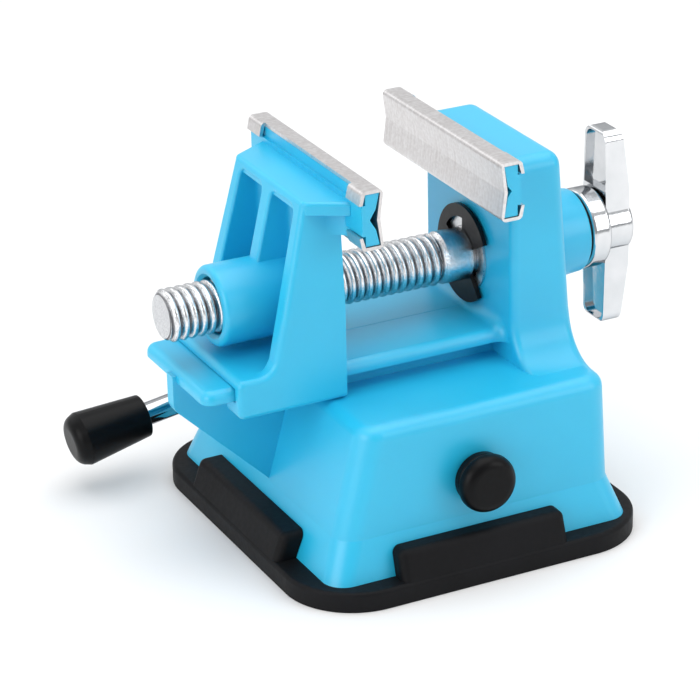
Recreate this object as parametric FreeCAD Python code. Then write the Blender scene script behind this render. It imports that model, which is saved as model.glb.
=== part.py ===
import FreeCAD, Part
import math
import os

# Small bench vise on a rubber suction base, in millimetres.
# Origin: on the table, below the middle of the base. +X runs along the screw
# to its wing handle, +Y to the side with the clamping lever, +Z up.

# Driving dimensions
jaw_width = 42.5            # along Y, over both metal jaw caps
jaw_opening = 21.7          # between the two caps as built
thread_radius = 4.6
thread_pitch = 1.62
base_front = -28.4          # skirt's front where it stands on the pad
base_rear = 29.1
base_width = 62.2           # skirt along Y where it stands on the pad
shoulder_height = 29.3      # flat top of the base beside the rail
rail_rise = 5.5             # top of the rail above the shoulder
screw_rise = 9.7            # screw axis above the rail
jaw_reach = 21.4            # top of the tower above the screw axis
pad_thickness = 3.5
wall = 2.4                  # moulded wall of the base
lever_x = 0.1               # lever shaft, through both side walls
lever_height = 17.15
lever_tilt = 8.9            # degrees below level, as built
lift = 2.0                  # how far the lever raises the middle of the pad

# Heights that follow
rail_top = shoulder_height + rail_rise
screw_height = rail_top + screw_rise
tower_height = screw_height + jaw_reach

# Clearances and helpers shared by all pieces
running = 0.08              # radial, shaft in hole
seat_gap = 0.05             # between flat faces that bear on each other
slide_gap = 0.3             # between the sliding jaw and its rail
overrun = 1.0               # how far a cutting solid passes the face it cuts
near = 0.02                 # two places this close count as one

# Metal jaw caps
cap_height = 10.4
cap_drop = 7.8              # a cap's lower edge below the top of the tower
cap_bottom = tower_height - cap_drop
cap_depth = 3.95
cap_sheet = 0.6
cap_bend_radius = 0.9
cap_dish = 0.65             # how far the web is folded in along its middle
cap_lip = 2.4
cap_lip_splay = 0.5
cap_lip_length = 4.9        # lips are left only at both ends of a cap
fixed_cap_x = 8.9           # gripping face of the fixed cap
moving_cap_x = fixed_cap_x - jaw_opening
cap_fit = 0.12              # between a cap and the head inside it
fixed_head_notch = 0.8      # groove along the middle of a head
fixed_head_notch_half = 1.0
moving_head_notch = 1.1
moving_head_notch_half = 1.8
head_end_inset = 0.2        # heads stop just short of the caps' ends

# Tower of the base
tower_x = 14.2              # front face
tower_half = 15.6
tower_rear = 26.3
tower_lean_rise = 5.7       # higher than this over the shoulder the rear face leans forward
tower_lean_share = 0.0744   # forward for each millimetre up
tower_lean_height = shoulder_height + tower_lean_rise
tower_top_rear = tower_rear - tower_lean_share * (tower_height - tower_lean_height)
tower_top_round = 2.6
tower_front_round = 1.3
tower_rear_round = 2.2
tower_foot_round = 2.0      # hollow where its front rises from the rail
flare_radius = 8.0          # concave foot of the tower on both sides
flare_sink = 0.1

# Lower body of the base
kink_height = 10.5          # the skirt turns out below this
front_flare = 2.7           # of the skirt, below the kink
rear_flare = 2.5
side_flare = 2.0
front_slope = 5.35          # from the kink to the shoulder
side_slope = 1.1
base_front_kink = base_front + front_flare
base_rear_kink = base_rear - rear_flare
base_half_kink = base_width / 2 - side_flare
base_front_top = base_front_kink + front_slope
base_half_top = base_half_kink - side_slope
base_corner = 4.0
shoulder_round = 2.5

# Rail that the jaw slides on
rail_front = -42.0
rail_half = 12.7
rail_thickness = 2.2
rail_corner = 2.0
rail_round = 1.6
stem_half = 8.9
web_half = 1.2
web_front = -42.7
web_depth = 7.2             # of its front edge, below the top of the rail
web_foot_rise = 0.4         # its foot above the skirt's kink
web_round = 3.0

# Screw and what turns with it
screw_tip = -43.7
thread_end = 7.3
thread_depth = 0.95
thread_crest = 0.65         # widths along the screw
thread_root = 0.28
tip_chamfer = 0.9
shank_growth = 0.02         # of the plain shank's radius over the thread's
shank_radius = thread_radius + shank_growth
clip_x = 12.95
clip_thickness = 0.75
clip_outer = 8.75
clip_band = 2.25
clip_mouth = (63, 138)      # open sector, in degrees from straight up towards -Y
clip_prongs = ((2, 63), (138, 199), (258, 302))
groove_radius = 3.9
washer_thickness = 0.4
washer_radius = 6.6
boss_end = 34.9
boss_end_radius = 7.4
boss_root_radius = 8.3
boss_round = 0.5
rear_washer_thickness = 0.4
rear_washer_radius = 6.7
hub_radius = 7.2
hub_length = 3.8
nose_radius = 5.25
nose_length = 5.6
wing_reach = 18.0
wing_root_half = 4.1
wing_tip_half = 3.4
wing_front = 39.6
wing_rear = 44.4
wing_tip_rear = 43.1
wing_rim = 0.55
wing_recess = 0.9
wing_corner = 2.0
hub_round = 0.7
handle_slot_half = 0.4
spigot_radius = 3.2
spigot_flat = 2.5           # flat on the spigot, from the screw's axis
handle_screw_radius = 1.5
handle_screw_length = 6.0
handle_screw_head = 2.9
handle_screw_head_height = 1.4

# Moving jaw
jaw_back = -16.8            # face towards the tower
jaw_clearance = 0.2         # lowest edge over the shoulder
jaw_low = shoulder_height + jaw_clearance
jaw_low_half = 14.55
jaw_top_half = 13.05
jaw_bend_rise = 1.5         # above the screw axis, where the sides begin to lean in
jaw_bend = screw_height + jaw_bend_rise
jaw_wall = 2.9
jaw_foot_front = -36.6
jaw_foot_rise = 1.6         # top of the foot above the rail
jaw_foot_top = rail_top + jaw_foot_rise
jaw_front_low = -29.8       # slanted front edge, low end
jaw_front_rise = 2.0        # that end above the foot
jaw_front_top = -23.4       # slanted front edge, high end
jaw_shelf_drop = 0.7        # top of the shelf below the top of the tower
jaw_shelf_top = tower_height - jaw_shelf_drop
jaw_shelf = 2.2
jaw_pocket_skin = 1.6       # over the two upper pockets
jaw_rib_half = 1.6
jaw_edge_round = 1.0
jaw_pocket_round = 1.5
jaw_rim_round = 0.5
jaw_shelf_round = 0.7
jaw_neck_round = 3.4
jaw_foot_round = 1.2
jaw_boss_front = -35.0
jaw_boss_radius = 7.0
jaw_boss_round = 0.9
jaw_mouth_radius = 5.0
jaw_mouth_flare = 0.6       # lead-in of the mouth
jaw_hook_inner = 9.5
nut_radius = 5.9
nut_length = 12.0
nut_flange_radius = 8.2
nut_flange = 1.2

# Rubber pad
pad_extra_length = 8.0      # over the skirt's foot, both ends together
pad_extra_width = 7.45
pad_length = base_rear - base_front + pad_extra_length
pad_width = base_width + pad_extra_width
pad_corner = 12.8
pad_round = 0.7
membrane_radius = 24.0
membrane_thickness = 1.2
membrane_hub_radius = 10.0
membrane_hub_height = 2.4
side_tab_half = 15.8        # tabs on the two long sides, along X
side_tab_x = -1.0
end_tab_half = 17.3         # tabs on the front and rear, along Y
side_tab_height = 8.6
end_tab_height = 8.2
tab_low_inset = 0.1         # tab foot inside the pad's edge
tab_lean = 2.0
tab_round = 1.4
tab_depth = 6.0             # into the skirt, before it is cut out
tab_fit = 0.15

# Lever and lifting gear
shaft_radius = 2.5
shaft_flat = 1.9            # flat on the shaft, from its axis
cam_radius = 4.4
cam_half = 3.4
cam_play = 0.25             # above and below the cam in its slot
guide_low = 11.0            # foot of the ribs beside the stud
stud_wall = 1.8
stud_half = 3.4
stud_plate_radius = 9.0
stud_plate = 1.6
stud_top_wall = 2.1
shaft_boss_radius = 4.8
shaft_rib_half = 1.2
side_gap = 0.1              # between the skirt and what turns beside it
knob_y = -base_half_kink - side_gap
knob_back_radius = 4.6
knob_waist_radius = 3.7
knob_front_radius = 5.15
knob_back_length = 1.9
knob_length = 4.95
knob_round = 2.0
knob_groove = 0.4
knob_edge_round = 0.3
knob_back_round = 0.8
hub_y = base_half_kink + side_gap
lever_hub_radius = 5.2
lever_hub_length = 5.0
lever_hub_round = 0.4
lever_hub_end_round = 1.0
rod_inset = 2.0             # axis of the rod from the hub's inner face
lever_y = hub_y + rod_inset # plane the lever turns in
rod_radius = 2.1
grip_start = 35.55          # from the shaft's axis
grip_end = 50.0
grip_small_radius = 3.9
grip_big_radius = 4.95
grip_neck_round = 0.4
grip_dome = 2.3             # length of the domed end
grip_dome_drop = 0.9        # how far it falls in before its round
grip_edge_round = 0.25
grip_end_round = 2.1
grip_depth = 9.0            # how far the rod goes into the grip


def vec(x, y, z):
    return FreeCAD.Vector(x, y, z)


def box(low, high):
    size = [b - a for a, b in zip(low, high)]
    return Part.makeBox(*size, vec(*low))


def rod(start, end, radius):
    """A cylinder from one point to another."""
    direction = vec(*end) - vec(*start)
    return Part.makeCylinder(radius, direction.Length, vec(*start), direction)


def bar_x(start, end, radius):
    """A cylinder round the screw's axis."""
    return rod((start, 0, screw_height), (end, 0, screw_height), radius)


def outline(corners, place):
    """A closed wire through (u, v, radius) corners, with an arc where radius isn't zero.

    place turns a pair (u, v) into a point in space.
    """
    starts, ends, arcs = [], [], []
    for i, (u, v, radius) in enumerate(corners):
        here = vec(u, v, 0)
        back = vec(*corners[i - 1][:2], 0) - here
        ahead = vec(*corners[(i + 1) % len(corners)][:2], 0) - here
        back.normalize()
        ahead.normalize()
        if radius:
            half = back.getAngle(ahead) / 2
            reach = radius / math.tan(half)
            middle = back + ahead
            middle.normalize()
            depth = radius / math.sin(half) - radius
            starts.append(here + back * reach)
            arcs.append(here + middle * depth)
            ends.append(here + ahead * reach)
        else:
            starts.append(here)
            arcs.append(None)
            ends.append(here)
    edges = []
    for i, arc in enumerate(arcs):
        if arc:
            points = [place(p.x, p.y) for p in (starts[i], arc, ends[i])]
            edges.append(Part.Arc(*points).toShape())
        here, ahead = ends[i], starts[(i + 1) % len(corners)]
        if (ahead - here).Length > near * near:
            edges.append(Part.makeLine(place(here.x, here.y), place(ahead.x, ahead.y)))
    return Part.Wire(edges)


def prism_x(corners, low, high):
    """A solid with a (y, z) outline, from x low to x high."""
    wire = outline(corners, lambda u, v: vec(low, u, v))
    return Part.Face(wire).extrude(vec(high - low, 0, 0))


def prism_y(corners, low, high):
    """A solid with an (x, z) outline, from y low to y high."""
    wire = outline(corners, lambda u, v: vec(u, low, v))
    return Part.Face(wire).extrude(vec(0, high - low, 0))


def prism_z(corners, low, high):
    """A solid with an (x, y) outline, from z low to z high."""
    wire = outline(corners, lambda u, v: vec(u, v, low))
    return Part.Face(wire).extrude(vec(0, 0, high - low))


def turned_x(profile, y=0, z=screw_height):
    """A solid of revolution about a line along X, from (x, radius) corners."""
    wire = outline(profile, lambda u, v: vec(u, y, z + v))
    return Part.Face(wire).revolve(vec(0, y, z), vec(1, 0, 0), 360)


def turned_y(profile, x=lever_x, z=lever_height):
    """A solid of revolution about a line along Y, from (y, radius) corners."""
    wire = outline(profile, lambda u, v: vec(x, u, z + v))
    return Part.Face(wire).revolve(vec(x, 0, z), vec(0, 1, 0), 360)


def soften(shape, radius, choose):
    """Rounds the edges whose bounding box the function chooses."""
    edges = [edge for edge in shape.Edges if choose(edge.BoundBox)]
    return shape.makeFillet(radius, edges)


def at(value, place):
    return abs(value - place) < near


def flat_at_z(b, z):
    return at(b.ZMin, z) and at(b.ZMax, z)


def flat_at_x(b, x):
    return at(b.XMin, x) and at(b.XMax, x)


def mirrored_y(shape):
    return shape.mirror(vec(0, 0, 0), vec(0, 1, 0))


def merge(shapes):
    return shapes[0].fuse(shapes[1:]).removeSplitter()


def export(shape, name):
    os.makedirs("parts", exist_ok=True)
    shape.exportStep("parts/" + name + ".step")


def skirt_levels(inset):
    """Front x, rear x and half width of the lower body at its foot, kink and top."""
    foot = (base_front + inset, base_rear - inset, base_width / 2 - inset, pad_thickness)
    kink = (base_front_kink + inset, base_rear_kink - inset,
            base_half_kink - inset, kink_height)
    top = (base_front_top + inset, tower_rear - inset, base_half_top - inset, shoulder_height)
    return foot, kink, top


def skirt_section(front, rear, half, height, corner):
    corners = [(front, -half, corner), (rear, -half, corner),
               (rear, half, corner), (front, half, corner)]
    return outline(corners, lambda u, v: vec(u, v, height))


def skirt_solid(inset, corner):
    """The lower body's outer form, moved in by inset (out when it is below zero)."""
    sections = [skirt_section(*level, corner) for level in skirt_levels(inset)]
    return Part.makeLoft(sections, True, True)


def tower_form(inset, low, top):
    """Tower with its flared foot, moved in by inset."""
    half = tower_half - inset
    foot = half + flare_radius
    floor = shoulder_height - flare_sink - inset
    ridge = top - inset
    side = [(foot, low, 0), (foot, floor, 0), (half, floor, flare_radius - near),
            (half, ridge, tower_top_round)]
    other = [(-y, z, r) for y, z, r in reversed(side)]
    across = prism_x(side + other, tower_x + inset, tower_rear - inset)
    rear_top = tower_rear - inset - tower_lean_share * (ridge - tower_lean_height)
    along = prism_y([(tower_x + inset, low, 0), (tower_rear - inset, low, 0),
                     (tower_rear - inset, tower_lean_height, 0), (rear_top, ridge, 0),
                     (tower_x + inset, ridge, 0)], -foot, foot)
    return across.common(along)


def rail_solid():
    bottom = rail_top - rail_thickness
    plan = [(rail_front, -rail_half, rail_corner), (tower_x + overrun, -rail_half, 0),
            (tower_x + overrun, rail_half, 0), (rail_front, rail_half, rail_corner)]
    flange = prism_z(plan, bottom, rail_top)
    flange = soften(flange, rail_round, lambda b: flat_at_z(b, rail_top) and b.XMin < tower_x)
    stem = box((base_front_top + shoulder_round, -stem_half, shoulder_height - overrun),
               (tower_x + overrun, stem_half, bottom + rail_thickness / 2))
    inner = base_front_top + shoulder_round
    foot = kink_height + web_foot_rise
    web = prism_y([(web_front, bottom + rail_thickness / 2, 0),
                   (web_front, rail_top - web_depth, web_round),
                   (base_front_kink, foot, 0), (inner, foot, 0),
                   (inner, bottom + rail_thickness / 2, 0)], -web_half, web_half)
    return [flange, stem, web]


def head_solid(face_x, rear_x, notch_depth, notch_half):
    """Plastic head that fills a metal cap. face_x is the cap's gripping face."""
    side = 1 if rear_x > face_x else -1
    front = face_x + side * (cap_sheet + cap_fit)
    low = cap_bottom + cap_sheet + cap_fit
    high = cap_bottom + cap_height - cap_sheet - cap_fit
    middle = cap_bottom + cap_height / 2
    notch = front + side * (cap_dish + notch_depth)
    half = jaw_width / 2 - head_end_inset
    dish = front + side * cap_dish
    back = face_x + side * (cap_depth - cap_fit)
    ledge_low = cap_bottom + cap_lip + cap_fit
    ledge_high = cap_bottom + cap_height - cap_lip - cap_fit
    corners = [(front, low, 0), (dish, middle - notch_half, 0), (notch, middle, 0),
               (dish, middle + notch_half, 0), (front, high, 0), (rear_x, high, 0),
               (rear_x, ledge_high, 0), (back, ledge_high, 0), (back, ledge_low, 0),
               (rear_x, ledge_low, 0), (rear_x, low, 0)]
    return prism_y(corners, -half, half)


def cap_solid(face_x, side):
    """Folded sheet cap: dished web, two flanges and short rear lips at both ends."""
    low, high = cap_bottom, cap_bottom + cap_height
    middle = (low + high) / 2
    back = face_x + side * cap_depth
    splay = back + side * cap_lip_splay
    s = side * cap_sheet
    turn = cap_bend_radius
    inside_low, inside_high = low + cap_sheet, high - cap_sheet
    corners = [(splay - s, low + cap_lip, 0), (splay, low + cap_lip, 0), (back, low, turn),
               (face_x, low, turn), (face_x + side * cap_dish, middle, 0), (face_x, high, turn),
               (back, high, turn), (splay, high - cap_lip, 0), (splay - s, high - cap_lip, 0),
               (back - s, inside_high, 0), (face_x + s, inside_high, 0),
               (face_x + side * cap_dish + s, middle, 0), (face_x + s, inside_low, 0),
               (back - s, inside_low, 0)]
    half = jaw_width / 2
    cap = prism_y(corners, -half, half)
    inner = half - cap_lip_length
    clear = [back - s - side * near, back + side * (cap_lip_splay + overrun)]
    cut = box((min(clear), -inner, low - overrun), (max(clear), inner, high + overrun))
    return cap.cut(cut)


def base_body():
    """Blue moulding: skirt, tower with the fixed jaw's head, rail, and the mechanism's bosses."""
    lower = skirt_solid(0, base_corner)
    lower = soften(lower, shoulder_round, lambda b: flat_at_z(b, shoulder_height))
    tower = tower_form(0, shoulder_height - shoulder_round - overrun, tower_height)
    floor = shoulder_height - flare_sink - near
    tower = soften(tower, tower_rear_round, lambda b: b.XMin > tower_top_rear - near
                   and b.ZMin > floor and not flat_at_z(b, tower_lean_height))
    tower = soften(tower, tower_front_round, lambda b: flat_at_x(b, tower_x) and b.ZMin > floor)
    boss = turned_x([(tower_x + wall, 0, 0), (tower_x + wall, boss_root_radius, 0),
                     (tower_rear - wall, boss_root_radius, 0), (boss_end, boss_end_radius, boss_round),
                     (boss_end, 0, 0)])
    head_back = fixed_cap_x + cap_depth - cap_sheet - cap_fit
    head = head_solid(fixed_cap_x, head_back, fixed_head_notch, fixed_head_notch_half)
    neck = box((head_back - near, -tower_half, cap_bottom + cap_sheet + cap_fit),
               (tower_x + overrun, tower_half, tower_height - tower_top_round))
    body = merge([lower, tower, boss, head, neck] + rail_solid())
    body = soften(body, tower_foot_round, lambda b: flat_at_x(b, tower_x) and flat_at_z(b, rail_top))
    return hollowed(body)


def hollowed(body):
    """Opens the base from below and leaves the bosses that carry screw, shaft and stud."""
    foot, kink, top = skirt_levels(wall)
    ceiling = shoulder_height - wall
    share = (ceiling - kink_height) / (shoulder_height - kink_height)
    lid = [a + (b - a) * share for a, b in zip(kink[:3], top[:3])] + [ceiling]
    mouth = foot[:3] + (pad_thickness - overrun,)
    levels = [skirt_section(*level, base_corner - wall / 2) for level in (mouth, foot, kink, lid)]
    room = Part.makeLoft(levels, True, True)
    tower_room = tower_form(wall, ceiling - overrun, tower_height)
    rail_ceiling = rail_top - wall
    rail_room = box((base_front_top + shoulder_round + wall, wall - stem_half, ceiling - overrun),
                    (tower_x + wall + overrun, stem_half - wall, rail_ceiling))
    tube = bar_x(tower_x, boss_end, shank_radius + running + wall)
    body = body.cut(room.fuse([tower_room, rail_room]).cut(tube))

    added = []
    for side in (-1, 1):
        inner = side * (stud_half + slide_gap)
        outer = side * (base_half_kink - wall / 2)
        rib_end = side * (base_half_top - wall / 2)
        added.append(rod((lever_x, inner, lever_height), (lever_x, outer, lever_height),
                         shaft_boss_radius))
        added.append(box((lever_x - shaft_rib_half, min(inner, rib_end), lever_height),
                         (lever_x + shaft_rib_half, max(inner, rib_end), ceiling + wall / 4)))
        guide = lever_x + side * (stud_half_length() + slide_gap)
        guide_back = guide + side * wall
        added.append(box((min(guide, guide_back), -stud_half, guide_low),
                         (max(guide, guide_back), stud_half, rail_ceiling + wall / 2)))
    body = merge([body] + added)

    shaft_hole = rod((lever_x, -base_width / 2 - overrun, lever_height),
                     (lever_x, base_width / 2 + overrun, lever_height), shaft_radius + running)
    screw_hole = bar_x(tower_x - overrun, boss_end + overrun, shank_radius + running)
    return body.cut([shaft_hole, screw_hole])


def jaw_half(z):
    """Half width of the sliding jaw at a height."""
    share = max(0, (z - jaw_bend) / (jaw_shelf_top - jaw_bend))
    return jaw_low_half + (jaw_top_half - jaw_low_half) * share


def jaw_front(z):
    """Where the sliding jaw's slanted front stands at a height."""
    foot = jaw_foot_top + jaw_front_rise
    share = (z - foot) / (jaw_shelf_top - foot)
    return jaw_front_low + (jaw_front_top - jaw_front_low) * share


def jaw_rooms():
    """Two halves of the sliding jaw's hollow: joined round the screw boss, parted by a rib above it."""
    back = jaw_back - jaw_wall
    ceiling = jaw_shelf_top - jaw_pocket_skin
    low_half = jaw_half(jaw_foot_top) - jaw_wall
    high_half = jaw_half(ceiling) - jaw_wall
    profile = [(-overrun, jaw_foot_top, 0), (low_half, jaw_foot_top, 0),
               (high_half, ceiling, jaw_pocket_round), (jaw_rib_half, ceiling, jaw_pocket_round),
               (jaw_rib_half, screw_height, 0), (-overrun, screw_height, 0)]
    room = prism_x(profile, jaw_foot_front - overrun, back)
    room = soften(room, jaw_pocket_round,
                  lambda b: flat_at_x(b, back) and b.ZMax > screw_height + near)
    return [room, mirrored_y(room)]


def neck_section(back, front, spread, z):
    """Outline of the neck at a height: from the jaw's sides it sweeps out to the head."""
    half = jaw_half(z)
    turn = back - jaw_neck_round
    blend = jaw_neck_round - near
    corners = [(turn, -half, 0), (back, -half, blend), (back, -spread, 0), (front, -spread, 0),
               (front, spread, 0), (back, spread, 0), (back, half, blend), (turn, half, 0)]
    return outline(corners, lambda u, v: vec(u, v, z))


def moving_jaw():
    """Blue sliding jaw: box open to the front, screw boss, shelf, head and rail hooks."""
    rail_bottom = rail_top - rail_thickness
    across = [(-jaw_low_half, jaw_low, 0), (jaw_low_half, jaw_low, 0), (jaw_low_half, jaw_bend, 0),
              (jaw_top_half, jaw_shelf_top, 0), (-jaw_top_half, jaw_shelf_top, 0),
              (-jaw_low_half, jaw_bend, 0)]
    along = [(jaw_back, jaw_low, 0), (jaw_foot_front, jaw_low, jaw_foot_round),
             (jaw_foot_front, jaw_foot_top, jaw_foot_round),
             (jaw_front_low - wall / 2, jaw_foot_top, wall),
             (jaw_front_low, jaw_foot_top + jaw_front_rise, 0),
             (jaw_front_top, jaw_shelf_top, 0), (jaw_back, jaw_shelf_top, 0)]
    rim_half = jaw_low_half - jaw_wall / 2
    block = prism_x(across, jaw_foot_front - overrun, jaw_back).common(
        prism_y(along, -jaw_low_half - overrun, jaw_low_half + overrun))
    block = soften(block, jaw_edge_round, lambda b: b.XMax < jaw_back - near
                   and min(abs(b.YMin), abs(b.YMax)) > jaw_top_half - near)
    block = block.cut(jaw_rooms())
    block = soften(block, jaw_rim_round, lambda b: at(b.XMin, jaw_front(b.ZMin))
                   and at(b.XMax, jaw_front(b.ZMax)) and max(-b.YMin, b.YMax) < rim_half
                   and b.ZMax < jaw_shelf_top - jaw_pocket_skin + near)
    boss = turned_x([(jaw_boss_front, 0, 0), (jaw_boss_front, jaw_boss_radius, jaw_boss_round),
                     (jaw_back - overrun, jaw_boss_radius, 0), (jaw_back - overrun, 0, 0)])

    head_back = moving_cap_x - cap_depth + cap_sheet + cap_fit
    head = head_solid(moving_cap_x, head_back, moving_head_notch, moving_head_notch_half)
    head_low = cap_bottom + cap_sheet + cap_fit
    head_front = head_back + overrun / 2
    shelf_low = jaw_shelf_top - jaw_shelf
    neck_half = jaw_half(head_low)
    spread = neck_half + jaw_neck_round
    shelf = prism_z([(jaw_front_top, -jaw_top_half, jaw_foot_round), (jaw_back, -spread, 0),
                     (head_front, -spread, 0), (head_front, spread, 0),
                     (jaw_back, spread, 0), (jaw_front_top, jaw_top_half, jaw_foot_round)],
                    shelf_low, jaw_shelf_top)
    neck_top = shelf_low + jaw_shelf / 2
    neck = Part.makeLoft([neck_section(head_back, head_front, spread, z)
                          for z in (head_low + near, neck_top)], True, True)
    body = merge([block, boss, shelf, neck, head])
    body = soften(body, jaw_shelf_round, lambda b: flat_at_z(b, jaw_shelf_top)
                  and b.XMin < jaw_back - near)

    channel = box((jaw_foot_front - overrun, -rail_half - slide_gap, rail_bottom - slide_gap),
                  (jaw_back + overrun, rail_half + slide_gap, rail_top + slide_gap / 2))
    slot = box((jaw_foot_front - overrun, -jaw_hook_inner, jaw_low - overrun),
               (jaw_back + overrun, jaw_hook_inner, rail_bottom))
    mouth = turned_x([(jaw_boss_front, 0, 0), (jaw_boss_front, jaw_mouth_radius + jaw_mouth_flare, 0),
                      (jaw_boss_front + jaw_mouth_flare, jaw_mouth_radius, 0),
                      (jaw_back - overrun, jaw_mouth_radius, 0), (jaw_back - overrun, 0, 0)])
    pocket = bar_x(jaw_back - nut_length - seat_gap, jaw_back + overrun, nut_radius + seat_gap)
    flange_seat = bar_x(jaw_back - nut_flange - seat_gap, jaw_back + overrun,
                        nut_flange_radius + seat_gap)
    return body.cut([channel, slot, mouth, pocket, flange_seat])


def drive_nut():
    """Flanged round nut pressed into the sliding jaw from behind."""
    sleeve = bar_x(jaw_back - nut_length, jaw_back, nut_radius)
    flange = bar_x(jaw_back - nut_flange, jaw_back, nut_flange_radius)
    hole = bar_x(jaw_back - nut_length - overrun, jaw_back + overrun, thread_radius + running)
    return merge([sleeve, flange]).cut(hole)


def thread_ridge(start, end):
    """Right-handed ridge round the screw's axis, from x start to x end."""
    sunk = thread_radius - thread_depth - thread_root
    foot_half = (thread_pitch - thread_root) / 2
    crest_half = thread_crest / 2
    corners = [(sunk, -foot_half), (sunk, foot_half),
               (thread_radius, crest_half), (thread_radius, -crest_half)]
    rails = []
    for radius, shift in corners:
        rail = Part.makeLongHelix(thread_pitch, end - start, radius, 0)
        rail.translate(vec(0, 0, shift))
        rails.append(rail.Edges)
    faces = []
    for i, rail in enumerate(rails):
        following = rails[(i + 1) % len(rails)]
        faces += [Part.makeRuledSurface(*pair) for pair in zip(rail, following)]
    first = [rail[0].valueAt(rail[0].FirstParameter) for rail in rails]
    last = [rail[-1].valueAt(rail[-1].LastParameter) for rail in rails]
    faces += [Part.Face(Part.makePolygon(corner + corner[:1])) for corner in (first, last)]
    shell = Part.makeShell(faces)
    shell.sewShape()
    ridge = Part.Solid(shell)
    ridge.rotate(vec(0, 0, 0), vec(0, 1, 0), 90)
    ridge.translate(vec(start, 0, screw_height))
    return ridge


def handle_seat_x():
    """Where the handle's hub starts, behind the rear washer."""
    return boss_end + 2 * seat_gap + rear_washer_thickness


def lead_screw():
    """Coarse screw: threaded front, plain shank with a clip groove, spigot for the handle."""
    root = thread_radius - thread_depth
    shank_start = thread_end + thread_depth
    groove = (clip_x - seat_gap, clip_x + clip_thickness + seat_gap)
    seat = handle_seat_x()
    core = turned_x([(screw_tip, 0, 0), (screw_tip, root, 0), (thread_end, root, 0),
                     (shank_start, shank_radius, 0), (groove[0], shank_radius, 0),
                     (groove[0], groove_radius, 0), (groove[1], groove_radius, 0),
                     (groove[1], shank_radius, 0), (seat, shank_radius, 0), (seat, 0, 0)])
    outer = turned_x([(screw_tip, 0, 0), (screw_tip, thread_radius - tip_chamfer, 0),
                      (screw_tip + tip_chamfer + overrun, thread_radius + overrun, 0),
                      (shank_start, thread_radius + overrun, 0), (shank_start, 0, 0)])
    ridge = thread_ridge(screw_tip - thread_pitch, thread_end + thread_pitch).common(outer)
    spigot = flatted_x(seat - near, spigot_end(), spigot_radius, spigot_flat)
    hole = bar_x(spigot_end() - handle_screw_length, spigot_end() + overrun,
                 handle_screw_radius + seat_gap)
    return merge([core.fuse(ridge), spigot]).cut(hole)


def spigot_end():
    return handle_seat_x() + hub_length + nose_length / 4


def flatted_x(start, end, radius, flat):
    """A round bar along the screw's axis with a flat below."""
    spare = box((start - overrun, -radius - overrun, screw_height - 2 * radius),
                (end + overrun, radius + overrun, screw_height - flat))
    return bar_x(start, end, radius).cut(spare)


def flatted_y(start, end, radius, flat):
    """A round bar along the lever's axis with a flat below."""
    bar = rod((lever_x, start, lever_height), (lever_x, end, lever_height), radius)
    spare = box((lever_x - radius - overrun, start - overrun, lever_height - 2 * radius),
                (lever_x + radius + overrun, end + overrun, lever_height - flat))
    return bar.cut(spare)


def retaining_clip():
    """E-shaped clip that snaps into the screw's groove in front of the tower."""
    front, back = clip_x, clip_x + clip_thickness
    grip = groove_radius + running

    def ring(outer, inner):
        return bar_x(front, back, outer).cut(bar_x(front, back, inner))

    def sector(first, last):
        """A wedge from the axis, angles in degrees from straight up towards -Y."""
        reach = 2 * clip_outer
        angles = [math.radians(first + (last - first) * i / 8) for i in range(9)]
        points = [vec(front, 0, screw_height)]
        points += [vec(front, -reach * math.sin(angle), screw_height + reach * math.cos(angle))
                   for angle in angles]
        points.append(points[0])
        return Part.Face(Part.makePolygon(points)).extrude(vec(back - front, 0, 0))

    band = ring(clip_outer, clip_outer - clip_band).cut(sector(*clip_mouth))
    prongs = ring(clip_outer - clip_band / 2, grip)
    return merge([band] + [prongs.common(sector(*span)) for span in clip_prongs])


def washer(front, thickness, outer):
    hole = bar_x(front - overrun, front + thickness + overrun, shank_radius + running)
    return bar_x(front, front + thickness, outer).cut(hole)


def wing_handle():
    """Two-winged cast handle with a round hub and hollowed wings."""
    front = handle_seat_x()
    back = front + hub_length + nose_length
    z = screw_height
    hub = turned_x([(front, 0, 0), (front, hub_radius, hub_round),
                    (front + hub_length, hub_radius, hub_round), (front + hub_length, 0, 0)])
    nose = turned_x([(front + hub_length / 2, 0, 0), (front + hub_length / 2, nose_radius, 0),
                     (back, nose_radius, hub_round), (back, 0, 0)])
    low, high = z - wing_reach, z + wing_reach
    face = [(-wing_tip_half, low, wing_corner), (wing_tip_half, low, wing_corner),
            (wing_root_half, z, 0), (wing_tip_half, high, wing_corner),
            (-wing_tip_half, high, wing_corner), (-wing_root_half, z, 0)]
    across = prism_x(face, wing_front - overrun, wing_rear + overrun)
    side = [(wing_front, low, hub_round), (wing_tip_rear, low, hub_round),
            (wing_rear, z - hub_radius, 0), (wing_rear, z + hub_radius, 0),
            (wing_tip_rear, high, hub_round), (wing_front, high, hub_round)]
    wings = across.common(prism_y(side, -wing_root_half - overrun, wing_root_half + overrun))
    inner_tip = wing_tip_half - wing_rim
    inner_root = wing_root_half - wing_rim
    inner_corner = wing_corner - wing_rim / 2
    recess = []
    for sign in (-1, 1):
        start = z + sign * hub_radius
        stop = z + sign * (wing_reach - wing_rim)
        pocket = [(-inner_root, start, 0), (inner_root, start, 0),
                  (inner_tip, stop, inner_corner), (-inner_tip, stop, inner_corner)]
        recess.append(prism_x(pocket, wing_front - overrun, wing_front + wing_recess))
    body = merge([hub, nose, wings.cut(recess)])
    bore = flatted_x(front - overrun, spigot_end() + seat_gap,
                     spigot_radius + seat_gap, spigot_flat + seat_gap)
    screw_hole = bar_x(front, back + overrun, handle_screw_radius + seat_gap)
    sink = bar_x(back - handle_screw_head_height - seat_gap, back + overrun,
                 handle_screw_head + seat_gap)
    return body.cut([bore, screw_hole, sink])


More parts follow.
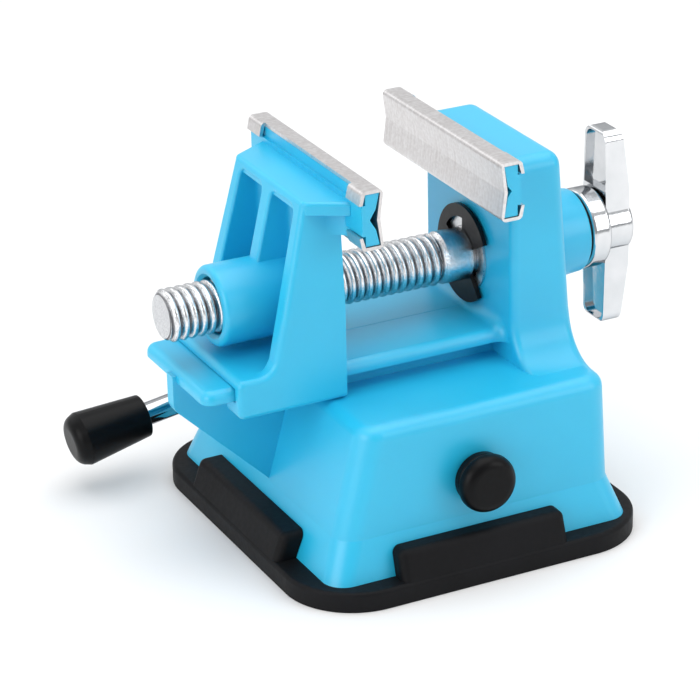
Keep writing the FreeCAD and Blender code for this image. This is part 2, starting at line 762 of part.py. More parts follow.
def handle_screw():
    """Small screw, sunk in the hub's end, that holds the handle on the spigot."""
    back = handle_seat_x() + hub_length + nose_length
    under = back - handle_screw_head_height
    tip = spigot_end() - handle_screw_length + handle_screw_radius / 2
    reach = handle_screw_head + overrun
    head = bar_x(under, back - seat_gap, handle_screw_head)
    shank = bar_x(tip, under + near, handle_screw_radius)
    slot = box((back - handle_screw_head_height / 2, -handle_slot_half, screw_height - reach),
               (back + overrun, handle_slot_half, screw_height + reach))
    return merge([head, shank]).cut(slot)


def cam_shaft():
    """Shaft through both side walls, with a flat from its near end to the cam."""
    end = hub_y + lever_hub_length - wall / 2
    plain = rod((lever_x, cam_half, lever_height), (lever_x, end, lever_height), shaft_radius)
    return merge([flatted_y(shaft_near_end(), cam_half + near, shaft_radius, shaft_flat), plain])


def shaft_near_end():
    return knob_y - knob_length / 2


def lift_cam():
    """Eccentric on the shaft. It points down with the lever as built."""
    centre = lever_height - lift / 2
    disc = rod((lever_x, -cam_half, centre), (lever_x, cam_half, centre), cam_radius)
    return disc.cut(flatted_y(-cam_half - overrun, cam_half + overrun, shaft_radius + seat_gap,
                              shaft_flat + seat_gap))


def stud_half_length():
    return cam_radius + lift / 2 + running + stud_wall


def lift_stud():
    """Plate bonded to the pad's middle, with a slotted post that the cam raises."""
    centre = lever_height - lift / 2
    low = membrane_hub_height
    plate = rod((lever_x, 0, low), (lever_x, 0, low + stud_plate), stud_plate_radius)
    half = stud_half_length()
    slot_half = half - stud_wall
    slot_height = cam_radius + cam_play
    post = box((lever_x - half, -stud_half, low + stud_plate / 2),
               (lever_x + half, stud_half, centre + slot_height + stud_top_wall))
    slot = box((lever_x - slot_half, -stud_half - overrun, centre - slot_height),
               (lever_x + slot_half, stud_half + overrun, centre + slot_height))
    return merge([plate, post]).cut(slot)


def suction_membrane():
    """Thin flexible middle of the rubber pad, with the thick spot that holds the stud."""
    sheet = rod((0, 0, 0), (0, 0, membrane_thickness), membrane_radius - seat_gap)
    spot = rod((lever_x, 0, 0), (lever_x, 0, membrane_hub_height), membrane_hub_radius)
    return merge([sheet, spot])


def pad_tab(reach, half_length, height):
    """A leaning upright whose outer face stands at y = reach, before the skirt is cut out of it."""
    low = pad_thickness - pad_round
    inner = reach - tab_depth
    upright = prism_x([(reach, low, 0), (reach - tab_lean, height, 0), (inner, height, 0),
                       (inner, low, 0)], -half_length, half_length)
    return soften(upright, tab_round, lambda b: b.ZMax > height - near
                  and b.YMax > reach - tab_lean - near)


def suction_pad():
    """Rubber foot: rounded rectangle with four tabs that hug the skirt."""
    half_x, half_y = pad_length / 2, pad_width / 2
    plan = [(-half_x, -half_y, pad_corner), (half_x, -half_y, pad_corner),
            (half_x, half_y, pad_corner), (-half_x, half_y, pad_corner)]
    sheet = prism_z(plan, 0, pad_thickness)
    sheet = soften(sheet, pad_round, lambda b: flat_at_z(b, pad_thickness))
    sheet = sheet.cut(rod((0, 0, -overrun), (0, 0, pad_thickness + overrun), membrane_radius))
    tabs = []
    for quarter in range(4):
        if quarter % 2:
            tab = pad_tab(half_x - tab_low_inset, end_tab_half, end_tab_height)
        else:
            tab = pad_tab(half_y - tab_low_inset, side_tab_half, side_tab_height)
        tab.rotate(vec(0, 0, 0), vec(0, 0, 1), 90 * quarter)
        if quarter % 2 == 0:
            tab.translate(vec(side_tab_x, 0, 0))
        tabs.append(tab)
    return merge([sheet] + tabs).cut(skirt_solid(-tab_fit, base_corner + tab_fit))


def pivot_knob():
    """Black two-step knob pressed on the shaft's near end."""
    front = knob_y - knob_length
    step = knob_y - knob_back_length
    waist = step - knob_groove
    body = turned_y([(knob_y, 0, 0), (knob_y, knob_back_radius, knob_edge_round),
                     (step, knob_back_radius, knob_back_round), (step, knob_waist_radius, 0),
                     (waist, knob_waist_radius, 0), (waist, knob_front_radius, knob_edge_round),
                     (front, knob_front_radius, knob_round), (front, 0, 0)])
    return body.cut(flatted_y(shaft_near_end() - seat_gap, knob_y + overrun,
                              shaft_radius + seat_gap, shaft_flat + seat_gap))


def lever_point(distance, y=lever_y):
    """A point on the lever's line, at a distance from the shaft's axis."""
    tilt = math.radians(lever_tilt)
    return (lever_x - distance * math.cos(tilt), y, lever_height - distance * math.sin(tilt))


def lever_hub():
    """Black hub on the shaft's far end that takes the lever rod."""
    end = hub_y + lever_hub_length
    body = turned_y([(hub_y, 0, 0), (hub_y, lever_hub_radius, lever_hub_round),
                     (end, lever_hub_radius, lever_hub_end_round), (end, 0, 0)])
    hole = rod((lever_x, hub_y - overrun, lever_height),
               (lever_x, end - wall / 2 + seat_gap, lever_height), shaft_radius + seat_gap)
    arm = rod(lever_point(shaft_radius), lever_point(lever_hub_radius + overrun),
              rod_radius - wall / 4 + seat_gap)
    return body.cut([hole, arm])


def lever_rod():
    """Chromed rod from the hub into the grip, thinner where it screws into the hub."""
    neck = rod(lever_point(shaft_radius + 2 * seat_gap), lever_point(lever_hub_radius + near),
               rod_radius - wall / 4)
    shank = rod(lever_point(lever_hub_radius), lever_point(grip_start + grip_depth), rod_radius)
    return merge([neck, shank])


def lever_grip():
    """Black tapered grip with a domed end."""
    big = grip_big_radius
    wire = outline([(grip_start, 0, 0), (grip_start, grip_small_radius, grip_neck_round),
                    (grip_end - grip_dome, big, grip_edge_round),
                    (grip_end, big - grip_dome_drop, grip_end_round), (grip_end, 0, 0)],
                   lambda u, v: vec(lever_x - u, lever_y, lever_height + v))
    body = Part.Face(wire).revolve(vec(0, lever_y, lever_height), vec(1, 0, 0), 360)
    body.rotate(vec(lever_x, lever_y, lever_height), vec(0, -1, 0), lever_tilt)
    hole = rod(lever_point(grip_start - overrun), lever_point(grip_start + grip_depth + seat_gap),
               rod_radius + seat_gap)
    return body.cut(hole)


def main():
    front_washer_x = tower_x - seat_gap - washer_thickness
    rear_washer_x = boss_end + seat_gap
    nodes = {
        "base_body": base_body(),
        "moving_jaw": moving_jaw(),
        "fixed_jaw_cap": cap_solid(fixed_cap_x, 1),
        "moving_jaw_cap": cap_solid(moving_cap_x, -1),
        "drive_nut": drive_nut(),
        "lead_screw": lead_screw(),
        "retaining_clip": retaining_clip(),
        "front_washer": washer(front_washer_x, washer_thickness, washer_radius),
        "rear_washer": washer(rear_washer_x, rear_washer_thickness, rear_washer_radius),
        "wing_handle": wing_handle(),
        "handle_screw": handle_screw(),
        "cam_shaft": cam_shaft(),
        "lift_cam": lift_cam(),
        "lift_stud": lift_stud(),
        "suction_membrane": suction_membrane(),
        "suction_pad": suction_pad(),
        "pivot_knob": pivot_knob(),
        "lever_hub": lever_hub(),
        "lever_rod": lever_rod(),
        "lever_grip": lever_grip(),
    }
    for name, shape in nodes.items():
        print(name, len(shape.Solids), shape.isValid(), round(shape.Volume, 1))
        export(shape, name)


main()
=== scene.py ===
import math

import bmesh
import bpy
from mathutils import Matrix, Vector


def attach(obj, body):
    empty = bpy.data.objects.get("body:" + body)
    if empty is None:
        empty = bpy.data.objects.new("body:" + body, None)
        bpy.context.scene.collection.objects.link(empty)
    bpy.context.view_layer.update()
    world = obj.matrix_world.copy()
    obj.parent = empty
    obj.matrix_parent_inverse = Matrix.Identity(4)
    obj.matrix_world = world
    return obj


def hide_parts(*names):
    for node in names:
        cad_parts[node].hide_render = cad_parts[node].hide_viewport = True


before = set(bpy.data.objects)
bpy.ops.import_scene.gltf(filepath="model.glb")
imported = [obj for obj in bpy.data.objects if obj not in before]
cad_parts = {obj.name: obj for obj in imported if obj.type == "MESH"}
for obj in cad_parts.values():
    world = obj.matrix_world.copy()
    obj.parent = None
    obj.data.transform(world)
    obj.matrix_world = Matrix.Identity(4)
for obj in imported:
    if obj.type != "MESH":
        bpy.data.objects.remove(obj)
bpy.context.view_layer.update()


# Camera: the photograph's long lens, from the near side of the open end, a little above.
# The eye's place, the lens and its sensor are in millimetres, the three angles in degrees.
MM = 0.001
eye = Vector((-225.19, -438.15, 248.87)) * MM
turn, rise, roll = math.radians(-26.267), math.radians(24.047), math.radians(-1.267)
back = Vector((math.sin(turn) * math.cos(rise), -math.cos(turn) * math.cos(rise), math.sin(rise)))
level = Vector((math.cos(turn), math.sin(turn), 0))
above = back.cross(level)
right = level * math.cos(roll) + above * math.sin(roll)
up = above * math.cos(roll) - level * math.sin(roll)
camera_data = bpy.data.cameras.new("camera")
camera_data.sensor_width = 36
camera_data.lens = 160.04
camera_data.clip_start = 10 * MM
camera = bpy.data.objects.new("camera", camera_data)
camera.matrix_world = Matrix.Translation(eye) @ Matrix((right, up, back)).transposed().to_4x4()
bpy.context.scene.collection.objects.link(camera)
bpy.context.scene.camera = camera
bpy.context.scene.view_settings.view_transform = "Standard"


# Light: a white studio, brighter behind and overhead than on the camera's side, with large
# soft lamps, so that the bright metal has panels and darker gaps to mirror. Lamps are placed
# and sized in metres.
vise_middle = Vector((0, 0, 30 * MM))


def soft_lamp(name, place, size, watts):
    """A large area lamp that looks from its place towards the vise."""
    data = bpy.data.lights.new(name, "AREA")
    data.shape = "RECTANGLE"
    data.size, data.size_y = size
    data.energy = watts
    lamp = bpy.data.objects.new(name, data)
    aim = (vise_middle - Vector(place)).to_track_quat("-Z", "Y")
    lamp.matrix_world = Matrix.Translation(place) @ aim.to_matrix().to_4x4()
    bpy.context.scene.collection.objects.link(lamp)


soft_lamp("overhead_lamp", (0.05, 0.0, 0.62), (0.7, 0.7), 2.5)
soft_lamp("left_lamp", (-0.60, -0.20, 0.26), (0.45, 0.40), 1.6)
soft_lamp("right_lamp", (0.42, -0.50, 0.30), (0.35, 0.40), 1.2)
soft_lamp("rear_lamp", (-0.40, 0.60, 0.50), (0.5, 0.4), 0.5)


def paint(code):
    """An sRGB hex colour as the linear colour that a socket takes, fully opaque."""
    parts = [int(code[i:i + 2], 16) / 255 for i in (0, 2, 4)]
    return [p / 12.92 if p <= 0.04045 else ((p + 0.055) / 1.055) ** 2.4 for p in parts] + [1.0]


def add_node(tree, kind, settings=(), links=()):
    """One shader node. Settings name a property, or an input by its label or index, or give
    a colour ramp's stops in order, as (position, sRGB hex). Links name inputs alone."""
    node = tree.nodes.new(kind)
    for key, value in dict(settings).items():
        if key == "stops":
            slots = node.color_ramp.elements
            while len(slots) < len(value):
                slots.new(0.5)
            for slot, (position, code) in zip(slots, value):
                slot.position = position
                slot.color = paint(code)
        elif isinstance(key, str) and hasattr(node, key):
            setattr(node, key, value)
        else:
            node.inputs[key].default_value = value
    for key, output in dict(links).items():
        tree.links.new(output, node.inputs[key])
    return node


backdrop_way = (0.0, 0.6, 0.8)  # up, and to the lever's side
world = bpy.data.worlds.new("studio")
world.use_nodes = True
tree = world.node_tree
direction = add_node(tree, "ShaderNodeTexCoord").outputs["Generated"]
towards_backdrop = add_node(tree, "ShaderNodeVectorMath",
                            {"operation": "DOT_PRODUCT", 1: backdrop_way}, {0: direction})
walls = add_node(tree, "ShaderNodeValToRGB", {"stops": ((0.0, "B4B6B8"), (0.45, "FBFCFD"))},
                 {"Fac": towards_backdrop.outputs["Value"]})
studio = tree.nodes["Background"]
studio.inputs["Strength"].default_value = 0.85
tree.links.new(walls.outputs["Color"], studio.inputs["Color"])
bpy.context.scene.world = world


# Floor: a table top in matt white laminate, which its printed paper leaves faintly mottled.
# It lies a hair below the pad's underside, so that the two faces don't share a plane.
def start_material(name):
    """An empty material, its tree, and the piece's own coordinates for its patterns."""
    material = bpy.data.materials.new(name)
    material.use_nodes = True
    tree = material.node_tree
    tree.nodes.clear()
    return material, tree, add_node(tree, "ShaderNodeTexCoord").outputs["Object"]


def finish_material(tree, settings, links):
    """Ends a material with the shader that its settings and patterns drive."""
    shader = add_node(tree, "ShaderNodeBsdfPrincipled", settings, links)
    add_node(tree, "ShaderNodeOutputMaterial", links={"Surface": shader.outputs["BSDF"]})


def make_piece(name, shape, material):
    """Turns a finished bmesh into an object in the scene."""
    mesh = bpy.data.meshes.new(name)
    shape.to_mesh(mesh)
    shape.free()
    mesh.materials.append(material)
    piece = bpy.data.objects.new(name, mesh)
    bpy.context.scene.collection.objects.link(piece)
    return piece


floor_reach, floor_drop = 3000, 0.05
mottles_per_mm = 0.006
laminate, tree, place = start_material("white_laminate")
mottle = add_node(tree, "ShaderNodeTexNoise", {"Scale": mottles_per_mm / MM, "Detail": 2.0},
                  {"Vector": place})
tint = add_node(tree, "ShaderNodeValToRGB", {"stops": ((0.0, "EAEAEA"), (1.0, "F0F0F0"))},
                {"Fac": mottle.outputs["Fac"]})
finish_material(tree, {"Roughness": 0.6}, {"Base Color": tint.outputs["Color"]})
table = bmesh.new()
bmesh.ops.create_grid(table, x_segments=1, y_segments=1, size=floor_reach * MM)
bmesh.ops.translate(table, verts=table.verts, vec=(0, 0, -floor_drop * MM))
make_piece("floor", table, laminate)


# Base and sliding jaw: two mouldings in glossy sky-blue ABS, with faint flow clouds in the
# colour and a thin clear gloss over it. The mould's pebble is too fine to show, so it is drawn
# coarser, 2.6 to the millimetre.
def dress(material, *nodes):
    """Gives carried-over CAD nodes their material."""
    for node in nodes:
        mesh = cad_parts[node].data
        mesh.materials.clear()
        mesh.materials.append(material)


clouds_per_mm, pebbles_per_mm = 0.07, 2.6
blue_abs, tree, place = start_material("moulded_blue_abs")
cloud = add_node(tree, "ShaderNodeTexNoise", {"Scale": clouds_per_mm / MM, "Detail": 4.0},
                 {"Vector": place})
pebble = add_node(tree, "ShaderNodeTexNoise", {"Scale": pebbles_per_mm / MM, "Detail": 2.0},
                  {"Vector": place})
tint = add_node(tree, "ShaderNodeValToRGB", {"stops": ((0.3, "1CB3DB"), (0.7, "22B8E0"))},
                {"Fac": cloud.outputs["Fac"]})
sheen = add_node(tree, "ShaderNodeMapRange", {"To Min": 0.34, "To Max": 0.46},
                 {"Value": cloud.outputs["Fac"]})
relief = add_node(tree, "ShaderNodeBump", {"Strength": 0.05, "Distance": 0.1 * MM},
                  {"Height": pebble.outputs["Fac"]})
finish_material(tree,
                {"IOR": 1.5, "Specular IOR Level": 0.6, "Coat Weight": 0.25, "Coat Roughness": 0.3,
                 "Subsurface Weight": 0.1, "Subsurface Scale": 1.5 * MM},
                {"Base Color": tint.outputs["Color"], "Roughness": sheen.outputs["Result"],
                 "Normal": relief.outputs["Normal"]})
dress(blue_abs, "base_body", "moving_jaw")


# Mould line: the halves of the base's mould meet on the middle of the rail and leave a fine
# ridge of the same ABS. Its strip is sunk in the rail, and its proud edges are rounded over.
line_start, line_stop, line_half = -30.0, 14.0, 0.09
rail_top, line_proud = 34.8, 0.04
line_height = 4 * line_proud
seam = bmesh.new()
bmesh.ops.create_cube(seam, size=1.0, matrix=Matrix.Diagonal(
    ((line_stop - line_start) * MM, 2 * line_half * MM, line_height * MM, 1)))
bmesh.ops.translate(seam, verts=seam.verts,
                    vec=((line_start + line_stop) / 2 * MM, 0,
                         (rail_top + line_proud - line_height / 2) * MM))
bmesh.ops.bevel(seam, geom=[e for e in seam.edges if all(v.co.z > rail_top * MM for v in e.verts)],
                offset=line_proud * MM, segments=2, profile=0.5, affect="EDGES", material=-1)
seam_piece = make_piece("mould_line", seam, blue_abs)
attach(seam_piece, "base")


# Suction foot: pad and membrane, moulded in black rubber, matt with a slight bloom. The dust
# in its grain is too fine to show, so it is drawn coarser, 1.2 to the millimetre.
dust_per_mm, blooms_per_mm = 1.2, 0.09
black_rubber, tree, place = start_material("moulded_black_rubber")
dust = add_node(tree, "ShaderNodeTexNoise", {"Scale": dust_per_mm / MM, "Detail": 4.0},
                {"Vector": place})
bloom = add_node(tree, "ShaderNodeTexNoise", {"Scale": blooms_per_mm / MM, "Detail": 3.0},
                 {"Vector": place})
tint = add_node(tree, "ShaderNodeValToRGB", {"stops": ((0.3, "0A0A0C"), (0.75, "101013"))},
                {"Fac": bloom.outputs["Fac"]})
dull = add_node(tree, "ShaderNodeMapRange", {"To Min": 0.48, "To Max": 0.66},
                {"Value": dust.outputs["Fac"]})
relief = add_node(tree, "ShaderNodeBump", {"Strength": 0.15, "Distance": 0.1 * MM},
                  {"Height": dust.outputs["Fac"]})
finish_material(tree, {"IOR": 1.5, "Specular IOR Level": 0.16},
                {"Base Color": tint.outputs["Color"], "Roughness": dull.outputs["Result"],
                 "Normal": relief.outputs["Normal"]})
dress(black_rubber, "suction_pad", "suction_membrane")


# Jaw caps: thin aluminium sheet, sheared and folded over each jaw, as it left the mill. The
# rolling lines run across the bar under a cloudy grey-white skin. They are too fine to show,
# so they are drawn 5.2 to the millimetre, and some 8 mm long.
lines_per_mm, clouds_per_mm = (0.12, 5.2, 0.12), 1.5
cap_aluminium, tree, place = start_material("rolled_aluminium_sheet")
stretched = add_node(tree, "ShaderNodeMapping", {"Scale": [count / MM for count in lines_per_mm]},
                     {"Vector": place})
lines = add_node(tree, "ShaderNodeTexNoise", {"Scale": 1.0, "Detail": 4.0},
                 {"Vector": stretched.outputs["Vector"]})
clouds = add_node(tree, "ShaderNodeTexNoise", {"Scale": clouds_per_mm / MM, "Detail": 5.0},
                  {"Vector": place})
both = add_node(tree, "ShaderNodeMath", {"operation": "MULTIPLY"},
                {0: lines.outputs["Fac"], 1: clouds.outputs["Fac"]})
tint = add_node(tree, "ShaderNodeValToRGB", {"stops": ((0.12, "C8C4C3"), (0.38, "E0DEDE"))},
                {"Fac": both.outputs["Value"]})
rough = add_node(tree, "ShaderNodeMapRange", {"To Min": 0.26, "To Max": 0.42},
                 {"Value": clouds.outputs["Fac"]})
relief = add_node(tree, "ShaderNodeBump", {"Strength": 0.1, "Distance": 0.05 * MM},
                  {"Height": lines.outputs["Fac"]})
finish_material(tree, {"Metallic": 1.0},
                {"Base Color": tint.outputs["Color"], "Roughness": rough.outputs["Result"],
                 "Normal": relief.outputs["Normal"]})
dress(cap_aluminium, "fixed_jaw_cap", "moving_jaw_cap")


# Screw: steel bar with a rolled coarse thread, and behind it a plain shank with the clip's
# groove and the handle's flatted spigot. Bright plating lies over a finely pitted surface, and
# the thread's roots are darkened with painted shade. Thread and shank are two closed shells, 0.3 mm
# apart.
axis_height = 44.5
thread_tip, thread_stop, thread_pitch = -43.7, 7.0, 1.62
crest_radius, tip_radius = 4.6, 3.75
spare_turns = 2  # at each end, cut off again once the ridge is spun
turn_steps = 72
merge_reach = 0.005

# Half a ridge: the shift along the screw from the middle of its crest, and the drop below it.
half_ridge = [(0.0, 0.0), (0.18, 0.02), (0.33, 0.10), (0.45, 0.26), (0.56, 0.50), (0.66, 0.72),
              (0.74, 0.82)]
whole_ridge = [(-shift, drop) for shift, drop in reversed(half_ridge[1:])] + half_ridge


def spin_outline(shape, outline, advance=0.0):
    """Spins an outline of (x, radius) once round the X axis, with an advance along it."""
    points = [shape.verts.new((x * MM, 0, -radius * MM)) for x, radius in outline]
    edges = [shape.edges.new(pair) for pair in zip(points, points[1:])]
    bmesh.ops.spin(shape, geom=points + edges, cent=(0, 0, 0), axis=(1, 0, 0),
                   dvec=(advance / turn_steps * MM, 0, 0), angle=2 * math.pi, steps=turn_steps,
                   use_merge=not advance)
    bmesh.ops.remove_doubles(shape, verts=shape.verts, dist=merge_reach * MM)


first_crest = thread_tip - spare_turns * thread_pitch
crests = int((thread_stop - thread_tip) / thread_pitch) + 2 * spare_turns
thread = bmesh.new()
spin_outline(thread, [(first_crest + k * thread_pitch + shift, crest_radius - drop)
                      for k in range(crests) for shift, drop in whole_ridge], thread_pitch)

# Both ends are cut square and closed, and the tip gets a chamfer of 45 degrees.
for x, side in ((thread_tip, 1), (thread_stop, -1)):
    cut = bmesh.ops.bisect_plane(thread, geom=thread.verts[:] + thread.edges[:] + thread.faces[:],
                                 plane_co=(x * MM, 0, 0), plane_no=(side, 0, 0), clear_inner=True)
    rim = [e for e in cut["geom_cut"] if isinstance(e, bmesh.types.BMEdge)]
    bmesh.ops.contextual_create(thread, geom=rim)
for v in thread.verts:
    radius = math.hypot(v.co.y, v.co.z)
    limit = (tip_radius - thread_tip) * MM + v.co.x
    if radius > limit:
        v.co.y, v.co.z = v.co.y * limit / radius, v.co.z * limit / radius
bmesh.ops.recalc_face_normals(thread, faces=thread.faces)

# The ridge is shaded smooth. Its faces have four corners at most, and the flat ends have more.
ridge_corners = 4
for f in thread.faces:
    f.smooth = len(f.verts) <= ridge_corners

cone_start, cone_stop, core_radius, shank_radius = 7.3, 8.25, 3.65, 4.62
groove_start, groove_stop, groove_radius = 12.85, 13.8, 3.9
seat_x, spigot_stop, spigot_radius, spigot_flat = 35.4, 40.6, 3.2, 2.5
hole_start, hole_radius = 34.6, 1.65
seat_margin = 0.01
shank = bmesh.new()
spin_outline(shank, [(cone_start, 0.0), (cone_start, core_radius), (cone_stop, shank_radius),
                     (groove_start, shank_radius), (groove_start, groove_radius),
                     (groove_stop, groove_radius), (groove_stop, shank_radius),
                     (seat_x, shank_radius), (seat_x, spigot_radius), (spigot_stop, spigot_radius),
                     (spigot_stop, hole_radius), (hole_start, hole_radius), (hole_start, 0.0)])
for v in shank.verts:
    if v.co.x > (seat_x + seat_margin) * MM and v.co.z < -spigot_flat * MM:
        v.co.z = -spigot_flat * MM
bmesh.ops.recalc_face_normals(shank, faces=shank.faces)
shank_mesh = bpy.data.meshes.new("shank")
shank.to_mesh(shank_mesh)
shank.free()
thread.from_mesh(shank_mesh)
bpy.data.meshes.remove(shank_mesh)
bmesh.ops.translate(thread, verts=thread.verts, vec=(0, 0, axis_height * MM))

# The painted shade in the thread's roots depends on the distance from the axis: the roots are
# darkened and the crests stay white. The pits are about a pixel wide, the finest that still show.
pits_per_mm, wear_per_mm = 6.0, 0.5
shaded_depth = 0.9
factor, first_colour, second_colour, mixed_colour = 0, 6, 7, 2  # a Mix node's colour sockets
frosted_plate, tree, place = start_material("frosted_bright_plate")
pits = add_node(tree, "ShaderNodeTexNoise",
                {"Scale": pits_per_mm / MM, "Detail": 3.0, "Roughness": 0.6}, {"Vector": place})
from_axis = add_node(tree, "ShaderNodeVectorMath",
                     {"operation": "SUBTRACT", 1: (0, 0, axis_height * MM)}, {0: place})
across = add_node(tree, "ShaderNodeVectorMath", {"operation": "MULTIPLY", 1: (0, 1, 1)},
                  {0: from_axis.outputs["Vector"]})
reach = add_node(tree, "ShaderNodeVectorMath", {"operation": "LENGTH"}, {0: across.outputs["Vector"]})
height = add_node(tree, "ShaderNodeMapRange",
                  {"From Min": (crest_radius - shaded_depth) * MM, "From Max": crest_radius * MM},
                  {"Value": reach.outputs["Value"]})
# Painted shade: dark grey in the roots, white from halfway up the flanks to the crests.
painted_root_shade = add_node(tree, "ShaderNodeValToRGB",
               {"stops": ((0.0, "FFFFFF"), (0.04, "5A5A5D"), (0.16, "96979A"), (0.42, "FFFFFF"))},
               {"Fac": height.outputs["Result"]})
silver = add_node(tree, "ShaderNodeValToRGB", {"stops": ((0.36, "A9AAAD"), (0.56, "FAFBFC"))},
                  {"Fac": pits.outputs["Fac"]})
tint = add_node(tree, "ShaderNodeMix", {"data_type": "RGBA", "blend_type": "MULTIPLY", factor: 1.0},
                {first_colour: silver.outputs["Color"], second_colour: painted_root_shade.outputs["Color"]})
wear = add_node(tree, "ShaderNodeTexNoise", {"Scale": wear_per_mm / MM, "Detail": 3.0},
                {"Vector": place})
gloss = add_node(tree, "ShaderNodeMapRange", {"To Min": 0.03, "To Max": 0.14},
                 {"Value": wear.outputs["Fac"]})
relief = add_node(tree, "ShaderNodeBump", {"Strength": 0.7, "Distance": 0.07 * MM},
                  {"Height": pits.outputs["Fac"]})
finish_material(tree, {"Metallic": 1.0, "Specular Tint": paint("D0D1D3")},
                {"Base Color": tint.outputs[mixed_colour], "Roughness": gloss.outputs["Result"],
                 "Normal": relief.outputs["Normal"]})
screw_piece = make_piece("threaded_screw", thread, frosted_plate)
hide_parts("lead_screw")
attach(screw_piece, "screw")


# Nut, front washer, cam shaft, cam and the handle's small screw: plain steel, zinc plated,
# with the dull silver spangle of barrel plating, 1.5 to the millimetre.
spangles_per_mm = 1.5
zinc_plate, tree, place = start_material("zinc_plated_steel")
spangle = add_node(tree, "ShaderNodeTexVoronoi", {"Scale": spangles_per_mm / MM}, {"Vector": place})
tint = add_node(tree, "ShaderNodeValToRGB", {"stops": ((0.1, "C6C8C9"), (0.8, "D8D9DA"))},
                {"Fac": spangle.outputs["Distance"]})
mist = add_node(tree, "ShaderNodeMapRange", {"To Min": 0.25, "To Max": 0.4},
                {"Value": spangle.outputs["Distance"]})
relief = add_node(tree, "ShaderNodeBump", {"Strength": 0.08, "Distance": 0.05 * MM},
                  {"Height": spangle.outputs["Distance"]})
finish_material(tree, {"Metallic": 1.0},
                {"Base Color": tint.outputs["Color"], "Roughness": mist.outputs["Result"],
                 "Normal": relief.outputs["Normal"]})
dress(zinc_plate, "drive_nut", "front_washer", "cam_shaft", "lift_cam", "handle_screw")


# Retaining clip and rear washer: spring steel, blackened in oil. The rear washer's black ring
# also stands in for the shaded gap between the boss and the handle's hub, as painted shade.
# Its smut varies the thin sheen, and is drawn coarse enough to show, 0.9 to the millimetre.
smut_per_mm = 0.9
black_oxide, tree, place = start_material("blackened_spring_steel")
smut = add_node(tree, "ShaderNodeTexNoise", {"Scale": smut_per_mm / MM, "Detail": 4.0},
                {"Vector": place})
tint = add_node(tree, "ShaderNodeValToRGB", {"stops": ((0.35, "060607"), (0.75, "0E0E10"))},
                {"Fac": smut.outputs["Fac"]})
worn = add_node(tree, "ShaderNodeMapRange", {"To Min": 0.3, "To Max": 0.5},
                {"Value": smut.outputs["Fac"]})
relief = add_node(tree, "ShaderNodeBump", {"Strength": 0.1, "Distance": 0.1 * MM},
                  {"Height": smut.outputs["Fac"]})
finish_material(tree, {"Specular IOR Level": 0.2},
                {"Base Color": tint.outputs["Color"], "Roughness": worn.outputs["Result"],
                 "Normal": relief.outputs["Normal"]})
# The rear washer's black is partly painted shade for the gap behind the boss.
dress(black_oxide, "retaining_clip", "rear_washer")


# Wing handle: a zinc casting, tumbled and chromed. The plate follows the casting's slight
# waves, about 4 mm long, so the mirrored lines wander a little. Its pinholes are drawn coarser
# than they are, 3.2 to the millimetre.
waves_per_mm, pinholes_per_mm = 0.26, 3.2
chromed_casting, tree, place = start_material("chromed_zinc_casting")
waves = add_node(tree, "ShaderNodeTexNoise", {"Scale": waves_per_mm / MM, "Detail": 2.0},
                 {"Vector": place})
pinholes = add_node(tree, "ShaderNodeTexNoise", {"Scale": pinholes_per_mm / MM, "Detail": 3.0},
                    {"Vector": place})
tint = add_node(tree, "ShaderNodeValToRGB", {"stops": ((0.3, "D2D4D6"), (0.7, "DCDDDF"))},
                {"Fac": waves.outputs["Fac"]})
polish = add_node(tree, "ShaderNodeMapRange", {"To Min": 0.06, "To Max": 0.16},
                  {"Value": pinholes.outputs["Fac"]})
wavy = add_node(tree, "ShaderNodeBump", {"Strength": 0.12, "Distance": 0.4 * MM},
                {"Height": waves.outputs["Fac"]})
relief = add_node(tree, "ShaderNodeBump", {"Strength": 0.12, "Distance": 0.05 * MM},
                  {"Height": pinholes.outputs["Fac"], "Normal": wavy.outputs["Normal"]})
finish_material(tree, {"Metallic": 1.0, "Specular Tint": paint("A8AAAC")},
                {"Base Color": tint.outputs["Color"], "Roughness": polish.outputs["Result"],
                 "Normal": relief.outputs["Normal"]})
dress(chromed_casting, "wing_handle")


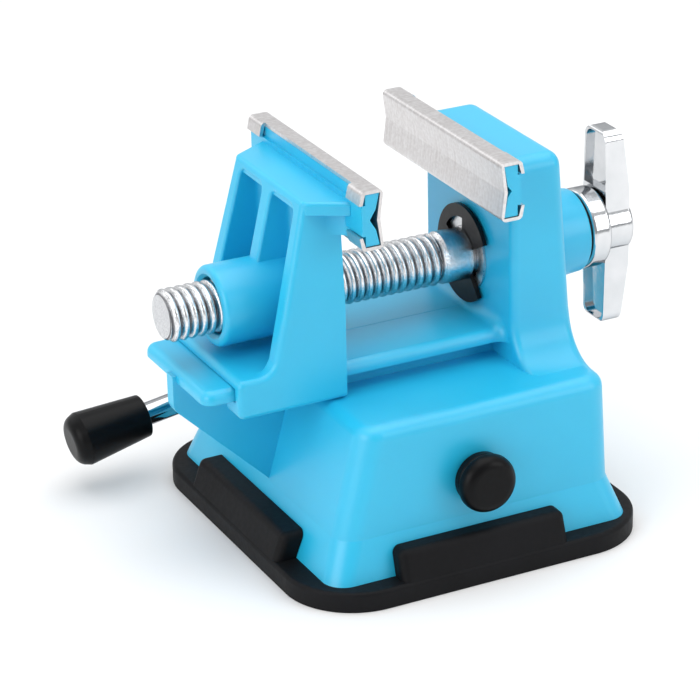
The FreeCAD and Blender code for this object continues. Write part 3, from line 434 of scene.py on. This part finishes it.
# Lever's rod: drawn steel, polished and chromed to a mirror, with its ends in the hub and the
# grip. A faint haze in the plate, 1.1 to the millimetre, softens the sharpest glints.
haze_per_mm = 1.1
bright_chrome, tree, place = start_material("polished_chrome_rod")
haze = add_node(tree, "ShaderNodeTexNoise", {"Scale": haze_per_mm / MM, "Detail": 4.0},
                {"Vector": place})
tint = add_node(tree, "ShaderNodeValToRGB", {"stops": ((0.3, "B6B8BB"), (0.7, "BFC1C4"))},
                {"Fac": haze.outputs["Fac"]})
mirror = add_node(tree, "ShaderNodeMapRange", {"To Min": 0.04, "To Max": 0.12},
                  {"Value": haze.outputs["Fac"]})
relief = add_node(tree, "ShaderNodeBump", {"Strength": 0.04, "Distance": 0.05 * MM},
                  {"Height": haze.outputs["Fac"]})
finish_material(tree, {"Metallic": 1.0, "Specular Tint": paint("989A9C")},
                {"Base Color": tint.outputs["Color"], "Roughness": mirror.outputs["Result"],
                 "Normal": relief.outputs["Normal"]})
dress(bright_chrome, "lever_rod")


# Pivot knob, lever hub, grip and lifting post: moulded black plastic, satin from a lightly
# blasted mould. The blasting's specks are too fine to show, so they are drawn coarser, 1.8 to
# the millimetre.
specks_per_mm = 1.8
black_plastic, tree, place = start_material("satin_black_plastic")
speck = add_node(tree, "ShaderNodeTexNoise", {"Scale": specks_per_mm / MM, "Detail": 3.0},
                 {"Vector": place})
tint = add_node(tree, "ShaderNodeValToRGB", {"stops": ((0.3, "050506"), (0.75, "09090B"))},
                {"Fac": speck.outputs["Fac"]})
satin = add_node(tree, "ShaderNodeMapRange", {"To Min": 0.3, "To Max": 0.42},
                 {"Value": speck.outputs["Fac"]})
relief = add_node(tree, "ShaderNodeBump", {"Strength": 0.1, "Distance": 0.1 * MM},
                  {"Height": speck.outputs["Fac"]})
finish_material(tree, {"IOR": 1.5, "Specular IOR Level": 0.14},
                {"Base Color": tint.outputs["Color"], "Roughness": satin.outputs["Result"],
                 "Normal": relief.outputs["Normal"]})
dress(black_plastic, "pivot_knob", "lever_hub", "lever_grip", "lift_stud")
